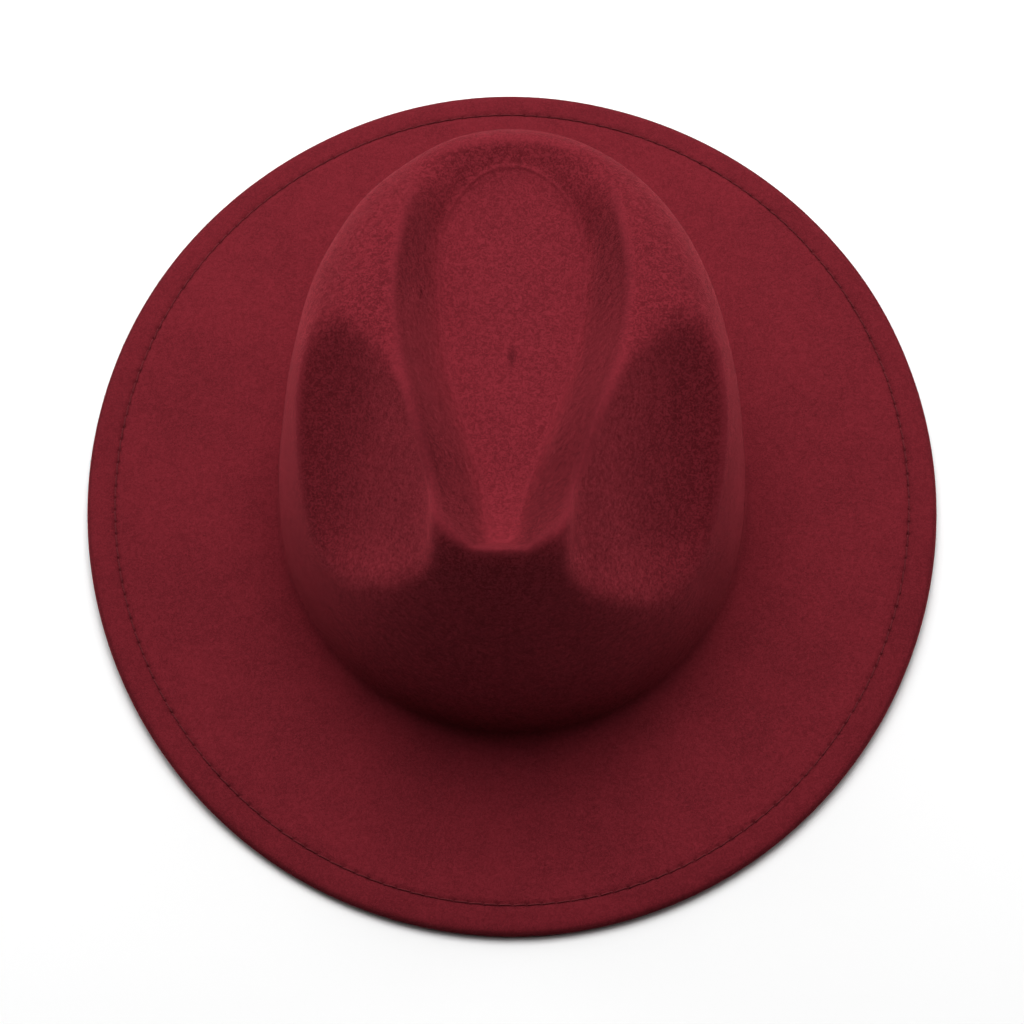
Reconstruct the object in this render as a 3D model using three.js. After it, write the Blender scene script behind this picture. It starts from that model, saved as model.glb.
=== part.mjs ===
// A wide-brimmed fedora, moulded from one piece of felt: a crown with a tear-shaped
// dent along its top and a pinch at each side of its front, and a flat brim whose edge
// is turned under once as a hem. Millimetres; X across the hat, -Y its front, +Z up,
// with the turned-under edge resting on Z = 0 and the Z axis up the middle of the hat.

import * as THREE from 'three';

// ---- Driving dimensions ----

const FELT = 2.2; // one layer of felt
const HEM_TOP = 2 * FELT; // top of the brim above the surface it rests on

// The open crown before it is creased: an oval that draws in as it rises.
const CROWN = {
  footHalfWidth: 85.4,
  footHalfLength: 102.8,
  footCentre: -1, // its middle stands this far back of the hat's
  ovalPower: 1.97, // 2 is an ellipse, more is squarer
  backTaper: 0.056, // how much narrower the back is than the front
  drawInWide: 0.204, // share of the width lost at DRAW_HEIGHT
  drawInLong: 0.138, // share of the length lost at DRAW_HEIGHT
  drawPower: 1.8,
  backShift: 7.4, // how far the oval has moved back at DRAW_HEIGHT
  topHeight: 112.5,
  forwardRise: 0.037, // rise of the top for each millimetre forward
  crossFall: 0.0016, // rounding of the top from side to side
  lengthFall: 0.0006, // rounding of the top from front to back
  backFall: 0.0008, // further rounding of its back half
  shoulder: 25, // softness of the turn from top to wall
};
const DRAW_HEIGHT = 110;

// The tear-shaped dent: an outline on its floor, wide behind and narrow in front.
const TEAR = {
  floorHeight: 88,
  backEnd: 75.5,
  widestAt: 38.5,
  halfWidth: 25.7,
  frontEnd: -75.5,
  frontHalfWidth: 4,
  frontPower: 1.22,
  rampStart: -44.5, // the floor climbs from here to the front end
  rampRise: 9.8,
  backRampStart: 10, // and from here to the back end
  backRampRise: 6,
  wallSlope: 1.5, // steepness of its wall at the sides
  backSlope: 0.3,
  frontSlope: 0.87,
  floorCrease: 3, // softness of the crease round the floor
  ridge: 5, // softness of the ridge round the dent
};

const RAMP_LIMIT = 1.3; // a ramp stops climbing this far past its end, as a share of it

// The pinch at each side of the front: the crown is pressed in round this rounded form.
const PINCH = {
  centre: [60, -64.5, 107],
  half: [27.5, 103, 46],
  turn: [5.6, 35.3, -41.4], // degrees about Z, X and Y
  power: 3.1, // 2 is an ellipsoid, more is squarer
  lip: 6.5, // softness of its edge
  scoop: 5.2, // how much deeper it is pressed at its deepest
  scoopAt: -14, // where that is, along the form from its centre
  scoopAbove: 62, // length over which the extra depth dies out above and below
  scoopBelow: 23,
  noseHeight: 97, // the front between the two pinches widens below this height
  noseHalfWidth: 23.3,
  noseSplay: 0.2, // widening for each millimetre down
  noseEdge: 5, // softness of its edge
};

const FOOT_FILLET = 4; // inside radius where the crown turns out into the brim

const BRIM = {
  halfWidth: 157.1,
  halfLength: 176.2,
  sideLift: 2.5, // how much its sides curl up
  flatHalfWidth: 62, // it lies flat this far from the centre line
};

const HEM = {
  width: 13, // how far the edge is turned under
  foldReach: 4.2, // length of the rounded fold
};

// Mesh density: spans round the hat, and rows along each stretch of its section.
const SPANS = 92;
const FRONT_CROWDING = 0.42; // spans are closer together at the front
const ROWS = {
  outer: { floor: 4, groove: 4, side: 19 },
  inner: { floor: 3, groove: 3, side: 12 },
  fillet: 3,
  brimTop: 3,
  fold: 5,
  brimUnder: 2,
};

// ---- Small functions ----

function smoothMax(a, b, blend) {
  const h = Math.max(blend - Math.abs(a - b), 0) / blend;
  return Math.max(a, b) + (h * h * h * blend) / 6;
}

function smoothStep(start, end, x) {
  const t = Math.min(Math.max((x - start) / (end - start), 0), 1);
  return t * t * (3 - 2 * t);
}

function mix(a, b, t) {
  return a + (b - a) * t;
}

const clamp = THREE.MathUtils.clamp;

// ---- The crown as a field: negative inside the form that the felt is blocked on ----

function wallField(x, y, z) {
  const drawn = Math.pow(Math.max(z, 0) / DRAW_HEIGHT, CROWN.drawPower);
  const back = y - CROWN.footCentre - CROWN.backShift * drawn;
  const taper = 1 - CROWN.backTaper * clamp(back / CROWN.footHalfLength, -1.2, 1.2);
  const halfWidth = CROWN.footHalfWidth * (1 - CROWN.drawInWide * drawn) * taper;
  const halfLength = CROWN.footHalfLength * (1 - CROWN.drawInLong * drawn);
  const power = CROWN.ovalPower;
  const ratio = Math.pow(
    Math.pow(Math.abs(x) / halfWidth, power) + Math.pow(Math.abs(back) / halfLength, power),
    1 / power,
  );
  const reach = Math.hypot(x, back) + 1e-9;
  return reach - reach / Math.max(ratio, 1e-9);
}

function topField(x, y, z) {
  const behind = Math.max(y, 0);
  const rounding = CROWN.crossFall * x * x + CROWN.lengthFall * y * y
    + CROWN.backFall * behind * behind;
  return z - (CROWN.topHeight - CROWN.forwardRise * y - rounding);
}

function tearHalfWidth(y) {
  if (y >= TEAR.widestAt) {
    const t = Math.min((y - TEAR.widestAt) / (TEAR.backEnd - TEAR.widestAt), 1);
    return TEAR.halfWidth * Math.sqrt(1 - t * t);
  }
  const t = Math.min((TEAR.widestAt - y) / (TEAR.widestAt - TEAR.frontEnd), 1);
  const narrowing = 0.5 + 0.5 * Math.cos(Math.PI * Math.pow(t, TEAR.frontPower));
  return mix(TEAR.frontHalfWidth, TEAR.halfWidth, narrowing);
}

function tearFloor(y) {
  const ramp = (start, end) => clamp((y - start) / (end - start), 0, RAMP_LIMIT);
  const ahead = ramp(TEAR.rampStart, TEAR.frontEnd);
  const behind = ramp(TEAR.backRampStart, TEAR.backEnd);
  return TEAR.floorHeight + TEAR.rampRise * ahead * ahead + TEAR.backRampRise * behind * behind;
}

// Distance outside the tear's outline, measured in plan.
function tearOutline(x, y) {
  let side;
  if (y >= TEAR.widestAt) {
    const back = y - TEAR.widestAt;
    const reach = Math.hypot(x, back) + 1e-9;
    const ratio = Math.hypot(x / TEAR.halfWidth, back / (TEAR.backEnd - TEAR.widestAt));
    side = reach - reach / Math.max(ratio, 1e-9);
  } else {
    const slope = tearHalfWidth(y + 0.5) - tearHalfWidth(y - 0.5);
    side = (Math.abs(x) - tearHalfWidth(y)) / Math.hypot(1, slope);
  }
  return smoothMax(side, TEAR.frontEnd - y, 4);
}

function tearField(x, y, z) {
  const above = z - tearFloor(y);
  const behind = smoothStep(40, 80, y);
  const ahead = smoothStep(20, 70, -y);
  const slope = TEAR.wallSlope
    + (TEAR.backSlope - TEAR.wallSlope) * behind
    + (TEAR.frontSlope - TEAR.wallSlope) * ahead;
  const wall = (tearOutline(x, y) * slope - above) / Math.hypot(1, slope);
  return smoothMax(wall, -above, TEAR.floorCrease);
}

const pinchTurn = new THREE.Matrix4();
{
  const [aboutZ, aboutX, aboutY] = PINCH.turn.map(THREE.MathUtils.degToRad);
  pinchTurn
    .makeRotationZ(aboutZ)
    .multiply(new THREE.Matrix4().makeRotationX(aboutX))
    .multiply(new THREE.Matrix4().makeRotationY(aboutY));
  pinchTurn.invert();
}

function pinchField(x, y, z) {
  const [centreX, centreY, centreZ] = PINCH.centre;
  const local = new THREE.Vector3(Math.abs(x) - centreX, y - centreY, z - centreZ);
  local.applyMatrix4(pinchTurn);
  const along = local.y - PINCH.scoopAt;
  const dying = along / (along > 0 ? PINCH.scoopAbove : PINCH.scoopBelow);
  local.x += PINCH.scoop * Math.exp(-dying * dying);
  const shares = local.toArray().map((v, i) => Math.abs(v / PINCH.half[i]) + 1e-9);
  const sum = shares.reduce((total, s) => total + Math.pow(s, PINCH.power), 0);
  const ratio = Math.pow(sum, 1 / PINCH.power);
  const steepness = Math.pow(ratio, 1 - PINCH.power)
    * Math.hypot(...shares.map((s, i) => Math.pow(s, PINCH.power - 1) / PINCH.half[i]));
  const nose = PINCH.noseHalfWidth + PINCH.noseSplay * Math.max(PINCH.noseHeight - z, 0);
  return smoothMax((ratio - 1) / steepness, nose - Math.abs(x), PINCH.noseEdge);
}

function crownField(x, y, z) {
  const open = smoothMax(wallField(x, y, z), topField(x, y, z), CROWN.shoulder);
  const pinched = smoothMax(open, -pinchField(x, y, z), PINCH.lip);
  return smoothMax(pinched, -tearField(x, y, z), TEAR.ridge);
}

function crownNormal(point) {
  const e = 0.3;
  const { x, y, z } = point;
  return new THREE.Vector3(
    crownField(x + e, y, z) - crownField(x - e, y, z),
    crownField(x, y + e, z) - crownField(x, y - e, z),
    crownField(x, y, z + e) - crownField(x, y, z - e),
  ).normalize();
}

// ---- Cutting the crown along one upright half-plane ----

const CUT_EYE = -60; // depth below the hat from which the cut is swept
const CUT_STEPS = 180;
const CUT_LOWEST = 0.6; // lowest angle of the sweep, in radians
const HALVINGS = 26;
const BEND_WEIGHT = 14; // points crowd by this many millimetres for each radian of bend
const FOOT_HEIGHT = HEM_TOP + FOOT_FILLET;

// The distance at which a probe first reads outside the form.
function findSurface(probe, inside, outside) {
  let low = inside;
  let high = outside;
  for (let i = 0; i < HALVINGS; i += 1) {
    const middle = (low + high) / 2;
    if (probe(middle) < 0) low = middle;
    else high = middle;
  }
  return low;
}

// The cut as a fine line of [reach, height] from the axis down to the foot, with the
// places along it where the tear's floor ends and where the ridge is highest.
function crownCut(cos, sin) {
  const line = [];
  for (let i = 0; i <= CUT_STEPS; i += 1) {
    const angle = mix(Math.PI / 2, CUT_LOWEST, i / CUT_STEPS);
    const out = Math.cos(angle);
    const up = Math.sin(angle);
    const probe = (d) => crownField(out * d * cos, out * d * sin, CUT_EYE + up * d);
    const distance = findSurface(probe, 60, 260);
    if (CUT_EYE + up * distance <= FOOT_HEIGHT) break;
    line.push([out * distance, CUT_EYE + up * distance]);
  }
  const footProbe = (d) => crownField(d * cos, d * sin, FOOT_HEIGHT);
  line.push([findSurface(footProbe, 0, 2 * DRAW_HEIGHT), FOOT_HEIGHT]);

  const outside = ([reach]) => tearOutline(reach * cos, reach * sin);
  const crease = line.findIndex((point) => outside(point) > 0);
  const [before, after] = [line[crease - 1], line[crease]];
  const share = outside(before) / (outside(before) - outside(after));
  line.splice(crease, 0, [0, 1].map((k) => mix(before[k], after[k], share)));
  const heights = line.map((point) => point[1]);
  const ridge = heights.indexOf(Math.max(...heights.slice(crease + 2)), crease + 2);
  return { line, crease, ridge };
}

// Points along the line from one of its points to another, closer where it bends.
function spacedPoints(line, start, end, count) {
  const measure = [0];
  for (let i = start + 1; i <= end; i += 1) {
    const [dx, dz] = [0, 1].map((k) => line[i][k] - line[i - 1][k]);
    const before = i > start + 1 ? i - 2 : i - 1;
    const [ex, ez] = [0, 1].map((k) => line[i - 1][k] - line[before][k]);
    const bend = i > start + 1 ? Math.abs(Math.atan2(ex * dz - ez * dx, ex * dx + ez * dz)) : 0;
    measure.push(measure[measure.length - 1] + Math.hypot(dx, dz) + BEND_WEIGHT * bend);
  }
  const points = [];
  let j = 0;
  for (let n = 1; n <= count; n += 1) {
    const goal = (measure[measure.length - 1] * n) / count;
    while (j < measure.length - 2 && measure[j + 1] < goal) j += 1;
    const share = clamp((goal - measure[j]) / (measure[j + 1] - measure[j]), 0, 1);
    points.push([0, 1].map((k) => mix(line[start + j][k], line[start + j + 1][k], share)));
  }
  return points;
}

// One section of the crown: rows over the tear's floor, up its wall to the ridge, and
// down the side to the foot.
function crownSection({ line, crease, ridge }, cos, sin, rows) {
  return [
    ...spacedPoints(line, 0, crease, rows.floor),
    ...spacedPoints(line, crease, ridge, rows.groove),
    ...spacedPoints(line, ridge, line.length - 1, rows.side),
  ].map(([reach, height]) => new THREE.Vector3(reach * cos, reach * sin, height));
}

// ---- The brim ----

function brimLift(x) {
  const beyond = Math.max(Math.abs(x) - BRIM.flatHalfWidth, 0);
  const share = beyond / (BRIM.halfWidth - BRIM.flatHalfWidth);
  return BRIM.sideLift * share * share;
}

// The brim's rim in the direction (cos, sin), and the way square in from it.
function rimPoint(cos, sin) {
  const reach = 1 / Math.hypot(cos / BRIM.halfWidth, sin / BRIM.halfLength);
  const point = new THREE.Vector3(reach * cos, reach * sin, 0);
  const inward = new THREE.Vector3(
    -point.x / (BRIM.halfWidth * BRIM.halfWidth),
    -point.y / (BRIM.halfLength * BRIM.halfLength),
    0,
  ).normalize();
  return { point, inward };
}

// One section of the whole hat: down the crown's outside, out over the brim, round the
// folded edge, and back along the underside to the middle of the crown's inside.
function hatSection(azimuth) {
  const cos = Math.sin(azimuth);
  const sin = -Math.cos(azimuth);
  const cut = crownCut(cos, sin);
  const outer = crownSection(cut, cos, sin, ROWS.outer);
  const inner = crownSection(cut, cos, sin, ROWS.inner);
  const foot = outer[outer.length - 1];
  const outward = crownNormal(foot).setZ(0).normalize();
  const section = [...outer];

  const { point: rim, inward } = rimPoint(cos, sin);
  const filletCentre = foot.clone().addScaledVector(outward, FOOT_FILLET);
  const fillet = (radius, step) => {
    const angle = (Math.PI / 2) * (step / ROWS.fillet);
    const point = filletCentre.clone().addScaledVector(outward, -radius * Math.cos(angle));
    point.z = FOOT_HEIGHT - radius * Math.sin(angle);
    return point;
  };
  const inFromRim = (distance, height) => {
    const point = rim.clone().addScaledVector(inward, distance);
    point.z = height + brimLift(point.x);
    return point;
  };
  const across = (from, to, share, height) => {
    const point = from.clone().lerp(to, share);
    point.z = height + brimLift(point.x);
    return point;
  };

  for (let i = 1; i <= ROWS.fillet; i += 1) section.push(fillet(FOOT_FILLET, i));
  const topEdge = inFromRim(HEM.foldReach, HEM_TOP);
  for (let i = 1; i <= ROWS.brimTop; i += 1) {
    section.push(across(filletCentre, topEdge, i / ROWS.brimTop, HEM_TOP));
  }
  for (let i = 1; i <= ROWS.fold; i += 1) {
    const angle = Math.PI / 2 - (Math.PI * i) / ROWS.fold;
    const distance = HEM.foldReach * (1 - Math.cos(angle));
    section.push(inFromRim(distance, FELT + FELT * Math.sin(angle)));
  }
  section.push(inFromRim(HEM.width, 0));
  const hemEnd = inFromRim(HEM.width, FELT);
  section.push(hemEnd);
  for (let i = ROWS.brimUnder - 1; i >= 1; i -= 1) {
    section.push(across(filletCentre, hemEnd, i / ROWS.brimUnder, FELT));
  }
  for (let i = ROWS.fillet; i >= 0; i -= 1) section.push(fillet(FOOT_FILLET + FELT, i));
  for (let i = inner.length - 2; i >= 0; i -= 1) {
    section.push(inner[i].clone().addScaledVector(crownNormal(inner[i]), -FELT));
  }
  return section;
}

// ---- The felt body ----

function feltBodyGeometry() {
  const sections = [];
  for (let i = 0; i < SPANS; i += 1) {
    const even = (2 * Math.PI * i) / SPANS;
    sections.push(hatSection(even - FRONT_CROWDING * Math.sin(even)));
  }
  const rows = sections[0].length;
  const top = new THREE.Vector3(0, 0, tearFloor(0));
  const underTop = new THREE.Vector3(0, 0, tearFloor(0) - FELT);
  const positions = [...top.toArray(), ...underTop.toArray()];
  sections.forEach((section) => section.forEach((point) => positions.push(...point.toArray())));

  const index = (span, row) => 2 + (span % SPANS) * rows + row;
  const faces = [];
  for (let i = 0; i < SPANS; i += 1) {
    faces.push(0, index(i, 0), index(i + 1, 0));
    for (let j = 0; j < rows - 1; j += 1) {
      const a = index(i, j);
      const b = index(i, j + 1);
      const c = index(i + 1, j + 1);
      const d = index(i + 1, j);
      faces.push(a, b, c, a, c, d);
    }
    faces.push(1, index(i + 1, rows - 1), index(i, rows - 1));
  }
  const geometry = new THREE.BufferGeometry();
  geometry.setAttribute('position', new THREE.Float32BufferAttribute(positions, 3));
  geometry.setIndex(faces);
  geometry.computeVertexNormals();
  return geometry;
}

const felt = new THREE.MeshStandardMaterial({ color: 0x7e262d, roughness: 0.95, metalness: 0 });

const hat = new THREE.Group();
const feltBody = new THREE.Mesh(feltBodyGeometry(), felt);
feltBody.name = 'felt_body';
hat.add(feltBody);

export default hat;
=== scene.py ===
"""A wide-brimmed fedora blocked from one piece of burgundy wool felt.

The crown is creased with a tear-shaped dent along its top and pinched at both sides of
its front. The brim lies flat, and its edge is turned under once and sewn down with one
row of stitches. The tables of sizes are in millimetres, with X across the hat, -Y its
front and +Z up from the surface that it rests on; the meshes are made in metres.
"""

from __future__ import annotations

import logging
import math
from dataclasses import dataclass, field
from enum import Enum

import bpy
import numpy as np
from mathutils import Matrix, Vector

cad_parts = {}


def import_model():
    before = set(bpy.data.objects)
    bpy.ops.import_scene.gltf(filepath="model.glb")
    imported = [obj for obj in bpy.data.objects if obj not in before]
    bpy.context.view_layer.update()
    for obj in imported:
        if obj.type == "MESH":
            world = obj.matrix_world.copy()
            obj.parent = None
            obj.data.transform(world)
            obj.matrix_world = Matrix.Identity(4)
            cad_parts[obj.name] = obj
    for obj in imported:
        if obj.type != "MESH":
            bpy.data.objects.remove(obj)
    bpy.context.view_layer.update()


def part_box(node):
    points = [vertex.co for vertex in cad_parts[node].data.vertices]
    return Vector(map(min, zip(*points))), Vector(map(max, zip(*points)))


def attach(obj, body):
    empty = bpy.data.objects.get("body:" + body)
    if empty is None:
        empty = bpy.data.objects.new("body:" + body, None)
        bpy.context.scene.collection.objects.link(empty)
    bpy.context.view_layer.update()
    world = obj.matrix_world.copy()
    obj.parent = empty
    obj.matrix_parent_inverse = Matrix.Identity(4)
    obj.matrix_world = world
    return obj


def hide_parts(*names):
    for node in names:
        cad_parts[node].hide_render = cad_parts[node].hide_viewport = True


LOG = logging.getLogger("fedora")

Array = np.ndarray
Colour = tuple[float, float, float, float]

MM = 0.001
BODY = "root"
FELT_NODE = "felt_body"
TINY = 1e-9
SHORTEST = 1e-12
SEED = 7
CROWN_SEED, BRIM_SEED, THREAD_SEED, HOLE_SEED = range(SEED + 1, SEED + 5)
CROWN_NAP_SEED, BRIM_NAP_SEED, HEM_NAP_SEED = range(SEED + 11, SEED + 14)


# ---- Small functions ----


def smooth_max(a: Array, b: Array, blend: float) -> Array:
    """The larger of two fields, rounded where they are closer than the blend.

    Args:
        a: The first field.
        b: The second field.
        blend: How close the two have to be for the rounding to start.

    Returns:
        The rounded larger field.
    """
    h = np.maximum(blend - np.abs(a - b), 0) / blend
    return np.maximum(a, b) + h**3 * blend / 6


def smooth_step(start: float, end: float, x: Array) -> Array:
    """A soft rise from 0 at the start to 1 at the end.

    Args:
        start: Where the rise begins.
        end: Where the rise ends.
        x: Where to read it.

    Returns:
        The height of the rise at x.
    """
    t = np.clip((x - start) / (end - start), 0, 1)
    return t * t * (3 - 2 * t)


def unit(vectors: Array) -> Array:
    """The vectors, each scaled to a length of 1."""
    return vectors / np.maximum(np.linalg.norm(vectors, axis=-1, keepdims=True), SHORTEST)


def make_object(name: str, points: Array, faces: list, material: bpy.types.Material) -> bpy.types.Object:
    """Makes a smooth-shaded mesh object from points in millimetres.

    Args:
        name: The object's name.
        points: One row of X, Y and Z for each vertex, in millimetres.
        faces: The vertex numbers of each face.
        material: The finish of the whole mesh.

    Returns:
        The new object, in the scene.
    """
    mesh = bpy.data.meshes.new(name)
    mesh.from_pydata((points * MM).tolist(), [], faces)
    mesh.polygons.foreach_set("use_smooth", np.ones(len(mesh.polygons), bool))
    mesh.materials.append(material)
    mesh.update()
    made = bpy.data.objects.new(name, mesh)
    bpy.context.scene.collection.objects.link(made)
    return made


@dataclass(frozen=True)
class Ripples:
    """Slow seeded waves that keep blocked felt from being perfectly even.

    The pace is how many times quicker than the wavelength says the waves may repeat.
    """

    height: float
    wavelength: float
    seed: int
    count: int = 9
    pace: tuple[float, float] = (0.7, 1.5)

    def at(self, points: Array) -> Array:
        """Reads the waves.

        Args:
            points: Rows of X, Y and Z in millimetres.

        Returns:
            The rise at each point, in millimetres.
        """
        draw = np.random.default_rng(self.seed)
        total = np.zeros(points.shape[:-1])
        for _ in range(self.count):
            direction = unit(draw.normal(size=3))
            turns = draw.uniform(*self.pace) / self.wavelength
            total += np.sin(2 * math.pi * (points @ direction * turns + draw.uniform()))
        return self.height * total / math.sqrt(self.count)


# ---- The form that the crown is blocked on ----


@dataclass
class OpenCrown:
    """The oval crown before it is creased, drawn in as it rises.

    Its oval is narrower behind by the back taper, and its top is rounded off by the three
    falls, which grow with the square of the distance from the middle.
    """

    foot_half_width: float = 85.4
    foot_half_length: float = 102.8
    foot_centre: float = -1.0
    oval_power: float = 1.97
    back_taper: float = 0.056
    taper_limit: float = 1.2
    draw_height: float = 110.0
    draw_in_wide: float = 0.204
    draw_in_long: float = 0.138
    draw_power: float = 1.8
    back_shift: float = 7.4
    top_height: float = 112.5
    forward_rise: float = 0.037
    cross_fall: float = 0.0016
    length_fall: float = 0.0006
    back_fall: float = 0.0008
    shoulder: float = 25.0

    def field(self, x: Array, y: Array, z: Array) -> Array:
        """How far a place is outside the open crown, below 0 inside it.

        Args:
            x: Places across the hat.
            y: Places along it.
            z: Heights.

        Returns:
            The distance in millimetres.
        """
        drawn = (np.maximum(z, 0) / self.draw_height) ** self.draw_power
        back = y - self.foot_centre - self.back_shift * drawn
        share = np.clip(back / self.foot_half_length, -self.taper_limit, self.taper_limit)
        taper = 1 - self.back_taper * share
        half_width = self.foot_half_width * (1 - self.draw_in_wide * drawn) * taper
        half_length = self.foot_half_length * (1 - self.draw_in_long * drawn)
        power = self.oval_power
        shares = (np.abs(x) / half_width) ** power + (np.abs(back) / half_length) ** power
        ratio = np.maximum(shares ** (1 / power), TINY)
        reach = np.hypot(x, back) + TINY
        wall = reach - reach / ratio
        rounding = self.cross_fall * x * x + self.length_fall * y * y
        rounding = rounding + self.back_fall * np.maximum(y, 0) ** 2
        top = z - (self.top_height - self.forward_rise * y - rounding)
        return smooth_max(wall, top, self.shoulder)


@dataclass
class TearDent:
    """The tear-shaped dent along the top, wide behind and narrow in front.

    The back stretch and the front stretch are the places, counted back and forward from
    the middle of the hat, between which the walls take the slopes of the dent's two ends.
    """

    floor_height: float = 88.0
    back_end: float = 75.5
    widest_at: float = 38.5
    half_width_behind: float = 25.7
    front_end: float = -75.5
    half_width_front: float = 4.0
    front_power: float = 1.22
    ramp_start: float = -44.5
    ramp_rise: float = 9.8
    back_rise_start: float = 10.0
    back_rise: float = 6.0
    rise_limit: float = 1.3
    wall_slope: float = 1.5
    back_slope: float = 0.3
    back_stretch: tuple[float, float] = (40.0, 80.0)
    front_slope: float = 0.87
    front_stretch: tuple[float, float] = (20.0, 70.0)
    floor_crease: float = 3.0
    ridge: float = 5.0
    end_blend: float = 4.0

    def half_width(self, y: Array) -> Array:
        """Half the floor's width ahead of its widest place.

        Args:
            y: Places along the hat.

        Returns:
            Half the width there, in millimetres.
        """
        share = np.clip((self.widest_at - y) / (self.widest_at - self.front_end), 0, 1)
        narrowing = 0.5 + 0.5 * np.cos(math.pi * share**self.front_power)
        return self.half_width_front + (self.half_width_behind - self.half_width_front) * narrowing

    def floor(self, y: Array) -> Array:
        """The floor's height, which climbs gently behind and more at the front.

        Args:
            y: Places along the hat.

        Returns:
            The height there, in millimetres.
        """
        ramp = (self.ramp_start - y) / (self.ramp_start - self.front_end)
        climb = (y - self.back_rise_start) / (self.back_end - self.back_rise_start)
        ramp = np.clip(ramp, 0, self.rise_limit)
        climb = np.clip(climb, 0, self.rise_limit)
        return self.floor_height + self.ramp_rise * ramp**2 + self.back_rise * climb**2

    def outline(self, x: Array, y: Array) -> Array:
        """How far a place is outside the floor's outline, measured in plan.

        Args:
            x: Places across the hat.
            y: Places along it.

        Returns:
            The distance in millimetres, below 0 over the floor.
        """
        back = y - self.widest_at
        reach = np.hypot(x, back) + TINY
        ratio = np.hypot(x / self.half_width_behind, back / (self.back_end - self.widest_at))
        behind = reach - reach / np.maximum(ratio, TINY)
        # Read half a millimetre each way, so the difference is the slope for one millimetre.
        slope = self.half_width(y + 0.5) - self.half_width(y - 0.5)
        ahead = (np.abs(x) - self.half_width(y)) / np.hypot(1, slope)
        side = np.where(y >= self.widest_at, behind, ahead)
        return smooth_max(side, self.front_end - y, self.end_blend)

    def field(self, x: Array, y: Array, z: Array) -> Array:
        """How far a place is outside the hollow of the dent.

        Args:
            x: Places across the hat.
            y: Places along it.
            z: Heights.

        Returns:
            The distance in millimetres, below 0 in the hollow.
        """
        above = z - self.floor(y)
        behind = smooth_step(*self.back_stretch, y)
        ahead = smooth_step(*self.front_stretch, -y)
        slope = (
            self.wall_slope
            + (self.back_slope - self.wall_slope) * behind
            + (self.front_slope - self.wall_slope) * ahead
        )
        wall = (self.outline(x, y) * slope - above) / np.hypot(1, slope)
        return smooth_max(wall, -above, self.floor_crease)


@dataclass
class SidePinch:
    """The pinch at each side of the front, pressed in round a long rounded form.

    The form has its centre, its half sizes and its turns about Z, X and Y in degrees. It is
    bowed by the scoop, and it stops short of the nose, which splays out as it goes down.
    """

    centre: tuple[float, float, float] = (60.0, -64.5, 107.0)
    half: tuple[float, float, float] = (27.5, 103.0, 46.0)
    turn: tuple[float, float, float] = (5.6, 35.3, -41.4)
    power: float = 3.1
    lip: float = 6.5
    scoop: float = 5.2
    scoop_at: float = -14.0
    scoop_above: float = 62.0
    scoop_below: float = 23.0
    nose_height: float = 97.0
    nose_half_width: float = 23.3
    nose_splay: float = 0.2
    nose_edge: float = 5.0

    def turned(self) -> Array:
        """Turns the pressing form.

        Returns:
            The form's own axes, as the columns of a matrix.
        """
        about_z, about_x, about_y = (math.radians(a) for a in self.turn)
        cz, sz = math.cos(about_z), math.sin(about_z)
        cx, sx = math.cos(about_x), math.sin(about_x)
        cy, sy = math.cos(about_y), math.sin(about_y)
        turn_z = np.array([[cz, -sz, 0], [sz, cz, 0], [0, 0, 1]])
        turn_x = np.array([[1, 0, 0], [0, cx, -sx], [0, sx, cx]])
        turn_y = np.array([[cy, 0, sy], [0, 1, 0], [-sy, 0, cy]])
        return turn_z @ turn_x @ turn_y

    def field(self, x: Array, y: Array, z: Array) -> Array:
        """How far a place is outside both pinches.

        Args:
            x: Places across the hat.
            y: Places along it.
            z: Heights.

        Returns:
            The distance in millimetres, below 0 in a pinch.
        """
        from_centre = np.stack([np.abs(x), y, z], axis=-1) - np.array(self.centre)
        half = np.array(self.half)
        own = from_centre @ self.turned()
        along = own[..., 1] - self.scoop_at
        reach = np.where(along > 0, self.scoop_above, self.scoop_below)
        own[..., 0] += self.scoop * np.exp(-((along / reach) ** 2))
        shares = np.abs(own / half) + TINY
        ratio = (shares**self.power).sum(-1) ** (1 / self.power)
        slopes = shares ** (self.power - 1) / half
        steepness = ratio ** (1 - self.power) * np.sqrt((slopes**2).sum(-1))
        distance = (ratio - 1) / steepness
        nose = self.nose_half_width + self.nose_splay * np.maximum(self.nose_height - z, 0)
        return smooth_max(distance, nose - np.abs(x), self.nose_edge)


@dataclass
class CrownSection:
    """Rows of the crown from its middle down to its foot, one column for each azimuth."""

    points: Array
    normals: Array


@dataclass(frozen=True)
class CrownRows:
    """How many rows of the mesh lie along each stretch of the crown."""

    floor: int
    bead: int
    groove: int
    side: int


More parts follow.
